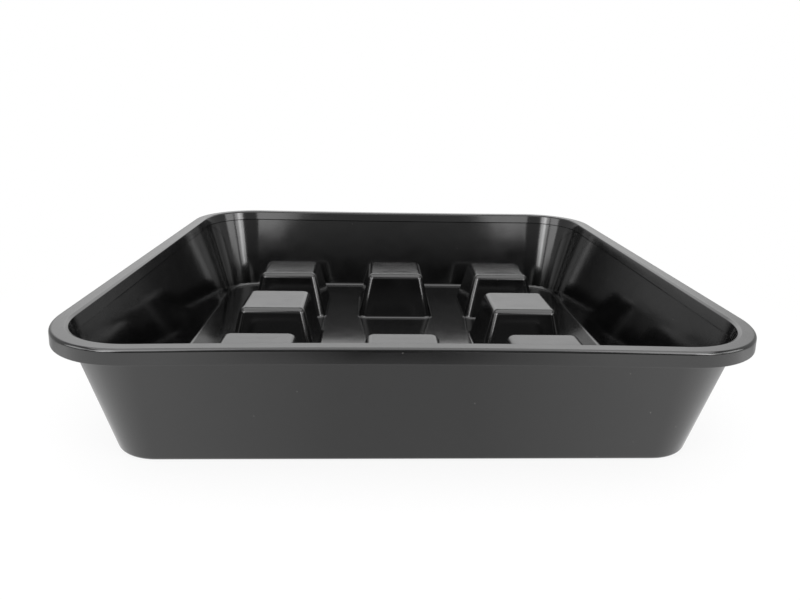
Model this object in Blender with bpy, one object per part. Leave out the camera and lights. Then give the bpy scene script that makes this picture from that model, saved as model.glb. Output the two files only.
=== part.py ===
"""Square plant saucer with eight hollow stands, one polypropylene moulding.

The saucer is a drafted square tray. Its rim turns over into a short skirt, a narrow
band runs round the inside below the rim, and the floor rises into eight tapered
stands in three rows, with the middle place left empty. The stands are hollow and
open below, so every wall of the moulding is about as thick as the next.

Origin: centre of the base, on the ground. +Z up. Metres.
"""

import math

import bmesh
import bpy

# Tray, seen from outside
RIM_SPAN = 0.400
HEIGHT = 0.0785
RIM_CORNER = 0.056
WALL_DRAFT = math.radians(14.0)
WALL_SKIN = 0.0018
FLOOR_SKIN = 0.0022
BASE_ROUND = 0.0032
FLOOR_ROUND = 0.0030

# Rim: a flat land, a bevel on its inner side and a skirt that hangs from its outer edge
RIM_LAND = 0.0069
RIM_BEVEL = 0.0022
BEVEL_FALL = math.radians(26.0)
RIM_SKIN = 0.0020
SKIRT_DROP = 0.0085
SKIRT_FLARE = 0.0005
SKIRT_SKIN = 0.0018
SKIRT_REACH = 0.0095
EDGE_ROUND = 0.0019
CREASE_ROUND = 0.0020
BEVEL_ROUND = 0.0006
HEM_ROUND = 0.0005
CHANNEL_ROUND = 0.0008

# Band inside the rim, which ends at the fine raised line of the mould's joint
BAND_DEPTH = 0.0080
JOINT_LINE_WIDTH = 0.0008
JOINT_LINE_PROUD = 0.00025

# Stands
STANDS_A_SIDE = 3
STAND_HEIGHT = 0.0392
STAND_DRAFT = math.radians(14.0)
STAND_SKIN = 0.0018
STAND_CORNER = 0.0065
STAND_FOOT_CORNER = 0.0090
STAND_ROUND = 0.0045
STAND_FLARE = 0.0020
POCKET_ROUND = 0.0008
CHANNEL_WIDTH = 0.0306
MARGIN_WIDTH = 0.0376

# Sprue mark in the middle of the underside
SPRUE_RECESS = 0.0060
SPRUE_DEPTH = 0.0006
SPRUE_STUB = 0.0012
SPRUE_LENGTH = 0.0004

# Fineness of the arcs
CORNER_STEPS = 12
STAND_CORNER_STEPS = 5
ROUND_STEPS = 4
SMALL_ROUND_STEPS = 2
SPRUE_SIDES = 16
SHARPEST_CORNER = 0.0004
SMOOTH_BELOW = math.radians(28.0)


# Places that follow from the sizes

skirt_foot = HEIGHT - SKIRT_DROP
joint_line = HEIGHT - BAND_DEPTH
stand_top = FLOOR_SKIN + STAND_HEIGHT


def wall_outside(level):
    """Distance of the wall's outer face in from the rim's outer edge, at a level"""
    return SKIRT_REACH + (skirt_foot - level) * math.tan(WALL_DRAFT)


def wall_inside(level):
    """The same for the wall's inner face"""
    return wall_outside(level) + WALL_SKIN / math.cos(WALL_DRAFT)


floor_half = RIM_SPAN / 2 - wall_inside(FLOOR_SKIN)
stand_foot = (2 * (floor_half - MARGIN_WIDTH) - (STANDS_A_SIDE - 1) * CHANNEL_WIDTH) / STANDS_A_SIDE
stand_pitch = stand_foot + CHANNEL_WIDTH


# Section lines: corners joined by straight runs, each corner with its radius

def rounded(corners):
    """Turn corners (across, level, radius, steps) into points, with arcs at the corners.

    An arc that its two runs have no room for gets the radius that they leave.
    """
    points = [corners[0][:2]]
    for before, corner, after in zip(corners, corners[1:], corners[2:]):
        across, level, radius, steps = corner
        if radius == 0:
            points.append((across, level))
            continue
        to_before = (before[0] - across, before[1] - level)
        to_after = (after[0] - across, after[1] - level)
        run_before = math.hypot(*to_before)
        run_after = math.hypot(*to_after)
        start = math.atan2(to_before[1], to_before[0])
        turn = (math.atan2(to_after[1], to_after[0]) - start + math.pi) % (2 * math.pi) - math.pi
        half_angle = abs(turn) / 2
        tangent = min(radius / math.tan(half_angle), 0.45 * run_before, 0.45 * run_after)
        radius = tangent * math.tan(half_angle)
        middle = start + turn / 2
        reach = radius / math.sin(half_angle)
        centre = (across + reach * math.cos(middle), level + reach * math.sin(middle))
        sweep = math.copysign(math.pi - abs(turn), -turn)
        first = middle + math.pi - sweep / 2
        for step in range(steps + 1):
            angle = first + sweep * step / steps
            points.append((centre[0] + radius * math.cos(angle), centre[1] + radius * math.sin(angle)))
    points.append(corners[-1][:2])
    return points


def tray_section():
    """Skin of the tray from its underside, out and over the rim, and in to the floor.

    Across is measured in from the rim's outer edge, beyond which the skirt's hem flares.
    """
    land_underside = HEIGHT - RIM_SKIN
    bevel_drop = RIM_BEVEL * math.tan(BEVEL_FALL)
    band_foot = wall_inside(joint_line)
    line_half = JOINT_LINE_WIDTH / 2
    return rounded([
        (wall_outside(0) + BASE_ROUND, 0, 0, 0),
        (wall_outside(0), 0, BASE_ROUND, ROUND_STEPS),
        (wall_outside(land_underside), land_underside, CHANNEL_ROUND, SMALL_ROUND_STEPS),
        (SKIRT_SKIN, land_underside, CHANNEL_ROUND, SMALL_ROUND_STEPS),
        (SKIRT_SKIN - SKIRT_FLARE, skirt_foot, HEM_ROUND, SMALL_ROUND_STEPS),
        (-SKIRT_FLARE, skirt_foot, HEM_ROUND, SMALL_ROUND_STEPS),
        (0, HEIGHT, EDGE_ROUND, ROUND_STEPS),
        (RIM_LAND, HEIGHT, CREASE_ROUND, SMALL_ROUND_STEPS),
        (RIM_LAND + RIM_BEVEL, HEIGHT - bevel_drop, BEVEL_ROUND, SMALL_ROUND_STEPS),
        (band_foot, joint_line + line_half, 0, 0),
        (band_foot + JOINT_LINE_PROUD, joint_line, 0, 0),
        (wall_inside(joint_line - line_half), joint_line - line_half, 0, 0),
        (wall_inside(FLOOR_SKIN), FLOOR_SKIN, FLOOR_ROUND, ROUND_STEPS),
        (wall_inside(FLOOR_SKIN) + FLOOR_ROUND, FLOOR_SKIN, 0, 0),
    ])


def stand_section():
    """Outer skin of a stand, from the flare at its foot to its flat top.

    Across is measured in from the line where the side would meet the floor.
    """
    side_run = STAND_HEIGHT * math.tan(STAND_DRAFT)
    return rounded([
        (-STAND_FLARE, FLOOR_SKIN, 0, 0),
        (0, FLOOR_SKIN, STAND_FLARE, ROUND_STEPS),
        (side_run, stand_top, STAND_ROUND, ROUND_STEPS),
        (side_run + STAND_ROUND, stand_top, 0, 0),
    ])


def stand_corner(across, level):
    """Plan radius of a stand's corner, which opens a little from its top to its foot"""
    rise = (level - FLOOR_SKIN) / STAND_HEIGHT
    on_side = STAND_FOOT_CORNER + rise * (STAND_CORNER - STAND_FOOT_CORNER)
    side_line = (level - FLOOR_SKIN) * math.tan(STAND_DRAFT)
    return on_side - (across - side_line)


def pocket_section():
    """Inner skin of a stand, from its mouth in the underside to its ceiling"""
    skin_across = STAND_SKIN / math.cos(STAND_DRAFT)
    slope = math.tan(STAND_DRAFT)
    ceiling = stand_top - STAND_SKIN
    mouth = skin_across - FLOOR_SKIN * slope
    top = mouth + ceiling * slope
    return rounded([
        (mouth, 0, 0, 0),
        (top, ceiling, POCKET_ROUND, SMALL_ROUND_STEPS),
        (top + 2 * POCKET_ROUND, ceiling, 0, 0),
    ])


# Outlines seen from above, and the skins that run from one to the next

def rounded_square(bm, centre, half, corner, level, steps):
    """One loop of vertices round a square with round corners"""
    corner = min(max(corner, SHARPEST_CORNER), half)
    loop = []
    for quarter in range(4):
        towards = math.radians(45 + 90 * quarter)
        offset = math.sqrt(2) * (half - corner)
        arc_x = centre[0] + offset * math.cos(towards)
        arc_y = centre[1] + offset * math.sin(towards)
        for step in range(steps + 1):
            angle = math.radians(90 * (quarter + step / steps))
            loop.append(bm.verts.new((
                arc_x + corner * math.cos(angle), arc_y + corner * math.sin(angle), level)))
    return loop


def circle(bm, radius, level, sides):
    """One loop of vertices round the middle of the saucer"""
    return [
        bm.verts.new((radius * math.cos(2 * math.pi * i / sides),
                      radius * math.sin(2 * math.pi * i / sides), level))
        for i in range(sides)
    ]


def skin(bm, loops):
    """Band of faces from each loop to the next"""
    for lower, upper in zip(loops, loops[1:]):
        for i, vertex in enumerate(lower):
            following = (i + 1) % len(lower)
            bm.faces.new((vertex, lower[following], upper[following], upper[i]))


def loop_edges(bm, loop):
    return [bm.edges.get((vertex, loop[(i + 1) % len(loop)])) for i, vertex in enumerate(loop)]


def fill_between(bm, outer, holes):
    """Flat face inside the outer loop that leaves the other loops open"""
    edges = [edge for loop in [outer] + holes for edge in loop_edges(bm, loop)]
    bmesh.ops.triangle_fill(bm, use_beauty=True, use_dissolve=False, edges=edges)


# Pieces of the moulding

def add_tray(bm):
    """Wall, rim, skirt and band. Gives the loops that the underside and the floor fill."""
    loops = [
        rounded_square(bm, (0, 0), RIM_SPAN / 2 - across, RIM_CORNER - across, level, CORNER_STEPS)
        for across, level in tray_section()
    ]
    skin(bm, loops)
    return loops[0], loops[-1]


def add_stand(bm, centre):
    """One hollow stand. Gives the loops at its foot on the floor and at its mouth below."""
    open_loops = []
    for section in (stand_section(), pocket_section()):
        loops = [
            rounded_square(bm, centre, stand_foot / 2 - across, stand_corner(across, level),
                           level, STAND_CORNER_STEPS)
            for across, level in section
        ]
        skin(bm, loops)
        bm.faces.new(loops[-1])
        open_loops.append(loops[0])
    return open_loops


def stand_centres():
    """Rows and columns of stands, without the one in the middle"""
    middle = (STANDS_A_SIDE - 1) / 2
    for row in range(STANDS_A_SIDE):
        for column in range(STANDS_A_SIDE):
            if row == column == middle:
                continue
            yield (column - middle) * stand_pitch, (row - middle) * stand_pitch


def add_sprue_mark(bm):
    """Shallow round recess with the broken stub of the sprue. Gives its loop below."""
    stub_end = SPRUE_DEPTH - SPRUE_LENGTH
    loops = [
        circle(bm, SPRUE_RECESS, 0, SPRUE_SIDES),
        circle(bm, SPRUE_RECESS - SPRUE_DEPTH, SPRUE_DEPTH, SPRUE_SIDES),
        circle(bm, SPRUE_STUB + SPRUE_LENGTH / 2, SPRUE_DEPTH, SPRUE_SIDES),
        circle(bm, SPRUE_STUB, stub_end, SPRUE_SIDES),
    ]
    skin(bm, loops)
    bm.faces.new(loops[-1])
    return loops[0]


def black_polypropylene():
    material = bpy.data.materials.new("black_polypropylene")
    material.use_nodes = True
    shader = material.node_tree.nodes["Principled BSDF"]
    shader.inputs["Base Color"].default_value = (0.012, 0.012, 0.0125, 1)
    shader.inputs["Roughness"].default_value = 0.30
    shader.inputs["Metallic"].default_value = 0
    return material


def make_saucer(collection):
    bm = bmesh.new()
    underside_loop, floor_loop = add_tray(bm)
    stand_loops = [add_stand(bm, centre) for centre in stand_centres()]
    feet = [foot for foot, mouth in stand_loops]
    mouths = [mouth for foot, mouth in stand_loops]
    fill_between(bm, floor_loop, feet)
    fill_between(bm, underside_loop, mouths + [add_sprue_mark(bm)])
    bmesh.ops.recalc_face_normals(bm, faces=bm.faces)

    mesh = bpy.data.meshes.new("saucer")
    bm.to_mesh(mesh)
    bm.free()
    mesh.shade_smooth()
    mesh.set_sharp_from_angle(angle=SMOOTH_BELOW)
    mesh.materials.append(black_polypropylene())

    saucer = bpy.data.objects.new("saucer", mesh)
    collection.objects.link(saucer)
    return saucer


for leftover in list(bpy.data.objects):
    bpy.data.objects.remove(leftover, do_unlink=True)

parts = bpy.data.collections.new("square_plant_saucer")
bpy.context.scene.collection.children.link(parts)
make_saucer(parts)
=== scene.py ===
import math

import bmesh
import bpy
from mathutils import Euler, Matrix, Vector


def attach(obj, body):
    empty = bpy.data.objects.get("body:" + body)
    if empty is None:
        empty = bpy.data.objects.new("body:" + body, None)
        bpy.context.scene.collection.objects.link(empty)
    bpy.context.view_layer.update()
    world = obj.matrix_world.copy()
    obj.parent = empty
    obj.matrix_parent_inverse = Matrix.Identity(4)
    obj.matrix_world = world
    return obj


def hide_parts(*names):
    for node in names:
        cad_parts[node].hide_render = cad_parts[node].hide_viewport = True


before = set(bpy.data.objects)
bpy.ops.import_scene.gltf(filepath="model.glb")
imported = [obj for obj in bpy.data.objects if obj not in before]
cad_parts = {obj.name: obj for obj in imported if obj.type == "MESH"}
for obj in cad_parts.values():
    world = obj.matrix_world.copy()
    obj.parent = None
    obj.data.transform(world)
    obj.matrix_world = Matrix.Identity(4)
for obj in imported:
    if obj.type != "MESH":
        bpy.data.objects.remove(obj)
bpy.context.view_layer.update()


# The saucer: one injection moulding in black polypropylene, with nothing fitted to it.
# Its skin is a single line carried round a square: up the drafted wall, round the skirt and
# the rim, down the band to the fine step of the mould's joint, and out on to the floor.

rim_span = 0.400
height = 0.0785
rim_corner = 0.056
wall_draft = math.radians(14.0)
wall_skin = 0.0018
floor_skin = 0.0022

rim_land = 0.0078
rim_bevel = 0.00175
bevel_fall = math.radians(26.0)
rim_skin = 0.0020
skirt_drop = 0.0085
skirt_flare = 0.0005
skirt_skin = 0.0018
skirt_reach = 0.0095

band_depth = 0.0080
joint_line_width = 0.0006
joint_step = 0.0003

base_round = 0.0032
channel_round = 0.0008
hem_round = 0.0005
rim_round = 0.0019
land_round = 0.0020
bevel_round = 0.0006
joint_round = 0.0002
floor_round = 0.0030
run_on_flat = 0.0060

skirt_foot = height - skirt_drop
joint_line = height - band_depth
joint_top = joint_line + joint_line_width / 2
joint_foot = joint_line - joint_line_width / 2
land_underside = height - rim_skin
bevel_foot = height - rim_bevel * math.tan(bevel_fall)


def wall_outside(level):
    """How far the wall's outer face lies in from the rim's outer edge, at a level"""
    return skirt_reach + (skirt_foot - level) * math.tan(wall_draft)


def wall_inside(level):
    return wall_outside(level) + wall_skin / math.cos(wall_draft)


def moulded_line(corners, hold=0.00025):
    """Points along a section line of straight runs and round corners

    A corner is (across, level, radius, steps). Beside each round the line holds its
    straight direction for a moment, which keeps the flats flat in the reflections.
    """
    points = [Vector(corners[0][:2])]
    for before, corner, after in zip(corners, corners[1:], corners[2:]):
        here = Vector(corner[:2])
        radius, steps = corner[2:]
        if radius == 0:
            points.append(here)
            continue
        back = Vector(before[:2]) - here
        on = Vector(after[:2]) - here
        half_angle = back.angle(on) / 2
        tangent = min(radius / math.tan(half_angle), 0.45 * back.length, 0.45 * on.length)
        radius = tangent * math.tan(half_angle)
        inwards = (back.normalized() + on.normalized()).normalized()
        centre = here + inwards * (radius / math.sin(half_angle))
        first = here + back.normalized() * tangent - centre
        last = here + on.normalized() * tangent - centre
        sweep = first.angle_signed(last)
        points.append(here + back.normalized() * (tangent + min(hold, 0.1 * back.length)))
        for step in range(steps + 1):
            turn = -sweep * step / steps
            spoke = Vector((first.x * math.cos(turn) - first.y * math.sin(turn),
                            first.x * math.sin(turn) + first.y * math.cos(turn)))
            points.append(centre + spoke)
        points.append(here + on.normalized() * (tangent + min(hold, 0.1 * on.length)))
    points.append(Vector(corners[-1][:2]))
    return points


def square_ring(bm, centre, half, corner, level, corner_steps, side_steps,
                hold=0.0008, least_corner=0.0003):
    """One ring of vertices round a square with round corners, seen from above"""
    corner = min(max(corner, least_corner), half)
    side = 2 * (half - corner)
    ring = []
    for quarter in range(4):
        middle_angle = math.radians(45 + 90 * quarter)
        arc_x = centre[0] + math.sqrt(2) * (half - corner) * math.cos(middle_angle)
        arc_y = centre[1] + math.sqrt(2) * (half - corner) * math.sin(middle_angle)
        for step in range(corner_steps + 1):
            angle = math.radians(90 * (quarter + step / corner_steps))
            ring.append(bm.verts.new((
                arc_x + corner * math.cos(angle), arc_y + corner * math.sin(angle), level)))
        along = math.radians(90 * (quarter + 2))
        end = ring[-1].co
        stops = [hold] + [side * step / side_steps for step in range(1, side_steps)] + [side - hold]
        for stop in stops:
            ring.append(bm.verts.new((
                end.x + stop * math.cos(along), end.y + stop * math.sin(along), level)))
    return ring


def skin(bm, rings):
    """Faces between each ring and the next"""
    for lower, upper in zip(rings, rings[1:]):
        for i, vertex in enumerate(lower):
            following = (i + 1) % len(lower)
            bm.faces.new((vertex, lower[following], upper[following], upper[i]))


tray_line = moulded_line([
    (wall_outside(0) + run_on_flat, 0, 0, 0),
    (wall_outside(0), 0, base_round, 8),
    (wall_outside(land_underside), land_underside, channel_round, 4),
    (skirt_skin, land_underside, channel_round, 4),
    (skirt_skin - skirt_flare, skirt_foot, hem_round, 4),
    (-skirt_flare, skirt_foot, hem_round, 5),
    (0, height, rim_round, 12),
    (rim_land, height, land_round, 5),
    (rim_land + rim_bevel, bevel_foot, bevel_round, 5),
    (wall_inside(joint_line) + joint_step, joint_top, joint_round, 3),
    (wall_inside(joint_foot), joint_foot, joint_round, 3),
    (wall_inside(floor_skin), floor_skin, floor_round, 10),
    (wall_inside(floor_skin) + run_on_flat, floor_skin, 0, 0),
])

bm = bmesh.new()
tray_rings = [
    square_ring(bm, (0, 0), rim_span / 2 - across, rim_corner - across, level,
                corner_steps=24, side_steps=24)
    for across, level in tray_line
]
skin(bm, tray_rings)

# The long walls of such a moulding pull a little out of true as they cool. On this one
# the middle of the front rim has risen, and the middle of the back rim has just sunk.
front_rise = 0.0023
back_sink = 0.0007
bow_from = 0.010
bow_half_span = 0.190
stands_end = 0.135
bow_fade = 0.030
for vertex in bm.verts:
    x, y, z = vertex.co
    up_the_wall = max(z - bow_from, 0) / (height - bow_from)
    towards_middle = max(1 - (x / bow_half_span) ** 2, 0)
    beyond_stands = min(max((abs(y) - stands_end) / bow_fade, 0), 1)
    bow = front_rise if y < 0 else -back_sink
    vertex.co.z += bow * up_the_wall * towards_middle * beyond_stands


# The eight stands that hold the pot above the run-off water are blown up out of the same
# floor as tapered pockets, open below. Each has a flare at its foot, a round edge and a
# very shallow sink in its top, where the skin has pulled in while it cooled.

stand_height = 0.0392
stand_draft = math.radians(14.0)
stand_skin = 0.0018
stand_corner = 0.0052
stand_foot_corner = 0.0075
stand_round = 0.0050
stand_flare = 0.0030
sink_inset = 0.0085
sink_width = 0.0050
sink_depth = 0.00010
sink_round = 0.0010
sink_run = 0.0020
run_on_floor = 0.0010
pocket_round = 0.0008
pocket_run = 0.0016
channel_width = 0.0306
margin_width = 0.0376

floor_half = rim_span / 2 - wall_inside(floor_skin)
stand_foot = (2 * (floor_half - margin_width) - 2 * channel_width) / 3
stand_pitch = stand_foot + channel_width
stand_top = floor_skin + stand_height
stand_slope = math.tan(stand_draft)

top_edge = stand_height * stand_slope
sink_edge = top_edge + sink_inset
sink_level = stand_top - sink_depth

stand_line = moulded_line([
    (-stand_flare - run_on_floor, floor_skin, 0, 0),
    (0, floor_skin, stand_flare, 8),
    (top_edge, stand_top, stand_round, 10),
    (sink_edge, stand_top, sink_round, 4),
    (sink_edge + sink_width, sink_level, sink_round, 4),
    (sink_edge + sink_width + sink_run, sink_level, 0, 0),
])
skin_across = stand_skin / math.cos(stand_draft)
pocket_mouth = skin_across - floor_skin * stand_slope
pocket_ceiling = stand_top - stand_skin
pocket_top = pocket_mouth + pocket_ceiling * stand_slope
pocket_line = moulded_line([
    (pocket_mouth, 0, 0, 0),
    (pocket_top, pocket_ceiling, pocket_round, 4),
    (pocket_top + pocket_run, pocket_ceiling, 0, 0),
])


def add_stand_skin(bm, centre, line):
    """One side of a stand's skin, closed at its top, and the ring at its foot"""
    rings = []
    for across, level in line:
        rise = (level - floor_skin) / stand_height
        corner = stand_foot_corner + rise * (stand_corner - stand_foot_corner)
        side_line = (level - floor_skin) * stand_slope
        rings.append(square_ring(
            bm, centre, stand_foot / 2 - across, corner - (across - side_line), level,
            corner_steps=12, side_steps=1))
    skin(bm, rings)
    bm.faces.new(rings[-1])
    return rings[0]


feet = []
mouths = []
for row in (-1, 0, 1):
    for column in (-1, 0, 1):
        if row == column == 0:
            continue
        centre = (column * stand_pitch, row * stand_pitch)
        feet.append(add_stand_skin(bm, centre, stand_line))
        mouths.append(add_stand_skin(bm, centre, pocket_line))


# The mould is filled through one point in the middle of the underside. The sprue is
# snapped off there, and leaves a stub in a shallow round recess.

sprue_line = [
    (0.00610, 0), (0.0060, 0.00006), (0.00545, 0.00055), (0.0053, 0.0006), (0.0020, 0.0006),
    (0.00150, 0.00055), (0.00135, 0.00045), (0.00125, 0.00022), (0.0011, 0.00015),
]
sprue_sides = 40
sprue_turns = [2 * math.pi * i / sprue_sides for i in range(sprue_sides)]
sprue_rings = [
    [bm.verts.new((radius * math.cos(turn), radius * math.sin(turn), level)) for turn in sprue_turns]
    for radius, level in sprue_line
]
skin(bm, sprue_rings)
bm.faces.new(sprue_rings[-1])


def fill_flat(bm, outer, holes):
    """A flat face from the outer ring to the rings of the holes in it"""
    edges = [bm.edges.get((ring[i - 1], ring[i]))
             for ring in [outer] + holes for i in range(len(ring))]
    bmesh.ops.triangle_fill(bm, use_beauty=True, use_dissolve=False, edges=edges)


fill_flat(bm, tray_rings[-1], feet)
fill_flat(bm, tray_rings[0], mouths + [sprue_rings[0]])
bmesh.ops.recalc_face_normals(bm, faces=bm.faces)
mesh = bpy.data.meshes.new("saucer_moulding")
bm.to_mesh(mesh)
bm.free()
mesh.shade_smooth()
mesh.set_sharp_from_angle(angle=math.radians(50))
saucer = bpy.data.objects.new("saucer_moulding", mesh)
bpy.context.scene.collection.objects.link(saucer)


# Black polypropylene straight from a polished mould: deep black and satin, with a very fine
# grain, slow waves in the skin, and a few grains of pale dust. The stands' tops and the
# rim's flat, which things stand and slide on, have gone a little duller.

plastic = bpy.data.materials.new("black_polypropylene")
plastic.use_nodes = True
nodes, links = plastic.node_tree.nodes, plastic.node_tree.links
shader = nodes["Principled BSDF"]
shader.inputs["IOR"].default_value = 1.50
shader.inputs["Specular IOR Level"].default_value = 0.85
shader.inputs["Metallic"].default_value = 0.0
place = nodes.new("ShaderNodeTexCoord")


def noise(scale, detail, roughness=0.5):
    """Cloudy noise that is fixed to the piece, at a scale in cycles per metre"""
    node = nodes.new("ShaderNodeTexNoise")
    node.inputs["Scale"].default_value = scale
    node.inputs["Detail"].default_value = detail
    node.inputs["Roughness"].default_value = roughness
    links.new(place.outputs["Object"], node.inputs["Vector"])
    return node


def spread(source, low, high, to_low, to_high):
    """Stretch a range of one value over another range, and hold it beyond the ends"""
    node = nodes.new("ShaderNodeMapRange")
    node.inputs["From Min"].default_value = low
    node.inputs["From Max"].default_value = high
    node.inputs["To Min"].default_value = to_low
    node.inputs["To Max"].default_value = to_high
    links.new(source, node.inputs["Value"])
    return node.outputs["Result"]


mottle = noise(22, 5, 0.6)
tint = nodes.new("ShaderNodeMix")
tint.data_type = "RGBA"
tint.inputs["A"].default_value = (0.0014, 0.0014, 0.0015, 1)
tint.inputs["B"].default_value = (0.0022, 0.0022, 0.0023, 1)
links.new(spread(mottle.outputs["Fac"], 0.35, 0.65, 0, 1), tint.inputs["Factor"])

grains = nodes.new("ShaderNodeTexVoronoi")
grains.inputs["Scale"].default_value = 95
links.new(place.outputs["Object"], grains.inputs["Vector"])
dust = nodes.new("ShaderNodeMix")
dust.data_type = "RGBA"
dust.inputs["B"].default_value = (0.55, 0.54, 0.52, 1)
links.new(tint.outputs["Result"], dust.inputs["A"])
links.new(spread(grains.outputs["Distance"], 0.012, 0.022, 0.7, 0), dust.inputs["Factor"])
links.new(dust.outputs["Result"], shader.inputs["Base Color"])

handling = noise(60, 4, 0.55)
polish = spread(handling.outputs["Fac"], 0.3, 0.7, 0.11, 0.15)
surface = nodes.new("ShaderNodeNewGeometry")
facing = nodes.new("ShaderNodeSeparateXYZ")
where = nodes.new("ShaderNodeSeparateXYZ")
links.new(surface.outputs["True Normal"], facing.inputs[0])
links.new(place.outputs["Object"], where.inputs[0])
worn = nodes.new("ShaderNodeMath")
worn.operation = "MULTIPLY"
links.new(spread(facing.outputs["Z"], 0.97, 0.995, 0, 1), worn.inputs[0])
links.new(spread(where.outputs["Z"], 0.036, 0.040, 0, 0.11), worn.inputs[1])
dulled = nodes.new("ShaderNodeMath")
dulled.operation = "ADD"
links.new(polish, dulled.inputs[0])
links.new(worn.outputs["Value"], dulled.inputs[1])
links.new(dulled.outputs["Value"], shader.inputs["Roughness"])

waves = nodes.new("ShaderNodeBump")
waves.inputs["Strength"].default_value = 0.35
waves.inputs["Distance"].default_value = 0.0006
links.new(noise(18, 2).outputs["Fac"], waves.inputs["Height"])
grain = nodes.new("ShaderNodeBump")
grain.inputs["Strength"].default_value = 0.06
grain.inputs["Distance"].default_value = 0.00006
links.new(noise(2600, 3, 0.6).outputs["Fac"], grain.inputs["Height"])
links.new(waves.outputs["Normal"], grain.inputs["Normal"])
links.new(grain.outputs["Normal"], shader.inputs["Normal"])

saucer.data.materials.append(plastic)
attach(saucer, "root")
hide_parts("saucer")


# The studio floor is a pale sheet. It shows white beyond the saucer and keeps the
# saucer's own soft shadow. The glow it shows in reflections holds painted shade: it is painted darker
# towards the camera, a painted shadow of the camera which stands in its light, and off to the sides it is
# painted darker beside and behind the saucer than in front of it.

floor_mesh = bpy.data.meshes.new("studio_floor")
reach = 9.0
floor_mesh.from_pydata(
    [(-reach, -reach, 0), (reach, -reach, 0), (reach, reach, 0), (-reach, reach, 0)],
    [], [(0, 1, 2, 3)])
floor = bpy.data.objects.new("studio_floor", floor_mesh)
floor.location.z = -0.0002
bpy.context.scene.collection.objects.link(floor)
paper = bpy.data.materials.new("white_paper")
paper.use_nodes = True
nodes, links = paper.node_tree.nodes, paper.node_tree.links
nodes.clear()
output = nodes.new("ShaderNodeOutputMaterial")
sheet = nodes.new("ShaderNodeBsdfDiffuse")
sheet.inputs["Color"].default_value = (0.90, 0.90, 0.90, 1)
place = nodes.new("ShaderNodeTexCoord")
split = nodes.new("ShaderNodeSeparateXYZ")
links.new(place.outputs["Object"], split.inputs[0])


def work_out(operation, first, second):
    """One step of arithmetic between two values, each a number or another node's output"""
    node = nodes.new("ShaderNodeMath")
    node.operation = operation
    for socket, value in zip(node.inputs, (first, second)):
        if isinstance(value, (int, float)):
            socket.default_value = value
        else:
            links.new(value, socket)
    return node.outputs[0]


from_middle = nodes.new("ShaderNodeVectorMath")
from_middle.operation = "LENGTH"
links.new(place.outputs["Object"], from_middle.inputs[0])
far_off = spread(from_middle.outputs["Value"], 0.22, 0.42, 0.86, 1.0)

# Painted shade in the floor's glow as reflections see it: darker towards the camera, as a painted shadow
# of it, and darker beside and behind the saucer at the sides.
off_middle = spread(work_out("ABSOLUTE", split.outputs["X"], 0), 0.04, 0.21, 0, 1)
painted_camera_shadow = spread(split.outputs["Y"], -0.47, -0.405, 0.02, 0.70)
painted_shade_behind = spread(split.outputs["Y"], -0.17, -0.06, 1.10, 0.42)


def mix_levels(factor, first, second):
    """Go over from one level to another as the factor goes from 0 to 1"""
    node = nodes.new("ShaderNodeMix")
    for name, value in (("Factor", factor), ("A", first), ("B", second)):
        if isinstance(value, (int, float)):
            node.inputs[name].default_value = value
        else:
            links.new(value, node.inputs[name])
    return node.outputs["Result"]


rays = nodes.new("ShaderNodeLightPath")
glow = nodes.new("ShaderNodeEmission")
glow.inputs["Color"].default_value = (1, 1, 1, 1)
painted_glow_in_gloss = mix_levels(off_middle, painted_camera_shadow, painted_shade_behind)
links.new(mix_levels(rays.outputs["Is Glossy Ray"], 1.0, painted_glow_in_gloss), glow.inputs["Strength"])
seen = work_out("MULTIPLY", rays.outputs["Is Camera Ray"], far_off)
in_gloss_or_glass = work_out("MAXIMUM", rays.outputs["Is Glossy Ray"], rays.outputs["Is Transmission Ray"])
both = nodes.new("ShaderNodeMixShader")
links.new(work_out("MAXIMUM", seen, work_out("MULTIPLY", 0.90, in_gloss_or_glass)), both.inputs["Fac"])
links.new(sheet.outputs["BSDF"], both.inputs[1])
links.new(glow.outputs["Emission"], both.inputs[2])
links.new(both.outputs["Shader"], output.inputs["Surface"])
floor_mesh.materials.append(paper)


# A tall strip light stands ahead of the table on each side, before a wide softer panel,
# with another panel further round and a small card near the table. A large softbox hangs
# above. A pale backdrop is behind, and the room in front, where the camera is, stays dim.

def softbox(name, bearing, elevation, distance, width, tall, level):
    """A lit rectangle that faces the saucer; the bearing is in degrees, 0 behind it"""
    lamp = bpy.data.lights.new(name, "AREA")
    lamp.shape = "RECTANGLE"
    lamp.size = width
    lamp.size_y = tall
    lamp.energy = level * math.pi * width * tall
    light = bpy.data.objects.new(name, lamp)
    bearing, elevation = math.radians(bearing), math.radians(elevation)
    towards = Vector((math.sin(bearing) * math.cos(elevation),
                      math.cos(bearing) * math.cos(elevation),
                      math.sin(elevation)))
    light.location = towards * distance
    light.rotation_euler = towards.to_track_quat("Z", "Y").to_euler()
    bpy.context.scene.collection.objects.link(light)


for side, edge, panel_level, card_bearing, card_width, card_level in (
        (-1, "left", 2.5, 141.3, 0.162, 2.05),
        (1, "right", 2.9, 141.7, 0.122, 1.75)):
    softbox("strip_" + edge, 134.5 * side, 27, 1.38, 0.16, 0.80, 3.1)
    softbox("panel_" + edge, 134 * side, 26, 1.50, 0.60, 0.60, panel_level)
    softbox("side_panel_" + edge, 105 * side, 24, 1.50, 0.62, 0.56, 2.2)
    softbox("card_" + edge, card_bearing * side, 36.4, 0.483, card_width, 0.18, card_level)
softbox("ceiling", 180, 85.6, 1.304, 2.40, 1.67, 1.60)

world = bpy.data.worlds.new("studio")
bpy.context.scene.world = world
world.use_nodes = True
nodes, links = world.node_tree.nodes, world.node_tree.links
nodes.clear()
output = nodes.new("ShaderNodeOutputWorld")
direction = nodes.new("ShaderNodeTexCoord")
split = nodes.new("ShaderNodeSeparateXYZ")
links.new(direction.outputs["Generated"], split.inputs[0])


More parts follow.
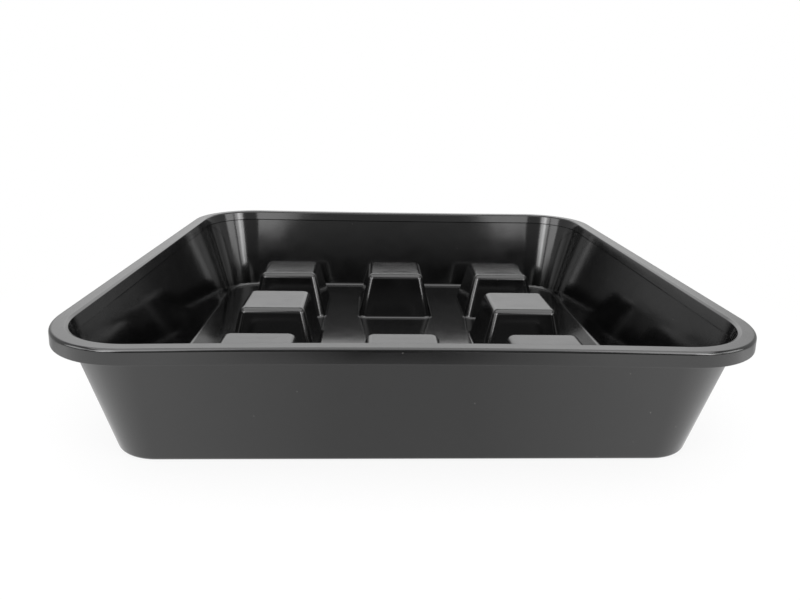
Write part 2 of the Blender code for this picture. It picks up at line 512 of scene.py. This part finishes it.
def band(stops):
    """Brightness by how high the direction points, from straight down to straight up"""
    ramp = nodes.new("ShaderNodeValToRGB")
    elements = ramp.color_ramp.elements
    while len(elements) < len(stops):
        elements.new(0.5)
    for element, (elevation, level) in zip(elements, stops):
        element.position = (math.sin(math.radians(elevation)) + 1) / 2
        element.color = (level, level, level, 1)
    links.new(spread(split.outputs["Z"], -1, 1, 0, 1), ramp.inputs["Fac"])
    return ramp.outputs["Color"]


def fade(first, second, bearing, other_bearing):
    """Go over from one band to another between two bearings, the same left and right"""
    mix = nodes.new("ShaderNodeMix")
    mix.data_type = "RGBA"
    links.new(spread(off_back, bearing, other_bearing, 0, 1), mix.inputs["Factor"])
    links.new(first, mix.inputs["A"])
    links.new(second, mix.inputs["B"])
    return mix.outputs["Result"]


turned = work_out("ARCTAN2", split.outputs["X"], split.outputs["Y"])
off_back = work_out("DEGREES", work_out("ABSOLUTE", turned, 0), 0)
behind = band([(-90, 0.8), (0, 0.45), (5, 0.75), (10, 1.02), (17, 1.42), (21, 1.66), (32, 1.74),
               (40, 0.60), (60, 0.4), (90, 0.4)])
beside = band([(-90, 0.8), (0, 0.45), (6, 0.45), (16, 0.42), (25, 0.50), (34, 0.45), (45, 0.30),
               (60, 0.40), (90, 0.4)])
ahead = band([(-90, 0.8), (0, 0.0), (13.3, 0.0), (14.8, 0.16), (16.5, 0.34), (26, 0.42), (34, 0.34),
              (40, 0.20), (90, 0.2)])
room_light = nodes.new("ShaderNodeBackground")
links.new(fade(fade(behind, beside, 26, 48), ahead, 92, 125), room_light.inputs["Color"])
white = nodes.new("ShaderNodeBackground")
white.inputs["Color"].default_value = (1, 1, 1, 1)
white.inputs["Strength"].default_value = 1.0
rays = nodes.new("ShaderNodeLightPath")
either = nodes.new("ShaderNodeMixShader")
links.new(rays.outputs["Is Camera Ray"], either.inputs["Fac"])
links.new(room_light.outputs[0], either.inputs[1])
links.new(white.outputs[0], either.inputs[2])
links.new(either.outputs[0], output.inputs["Surface"])


# The photograph is taken from just above the front rim and a little left of the middle,
# with a wide lens half a metre away.

camera_data = bpy.data.cameras.new("photo_camera")
camera_data.sensor_width = 36.0
camera_data.lens = 28.292
camera_data.clip_start = 0.01
camera = bpy.data.objects.new("photo_camera", camera_data)
camera.location = (-0.02086, -0.49004, 0.20098)
camera.rotation_euler = Euler([math.radians(turn) for turn in (71.954, -1.2198, -2.1812)], "XYZ")
bpy.context.scene.collection.objects.link(camera)
bpy.context.scene.camera = camera
bpy.context.scene.view_settings.view_transform = "Standard"
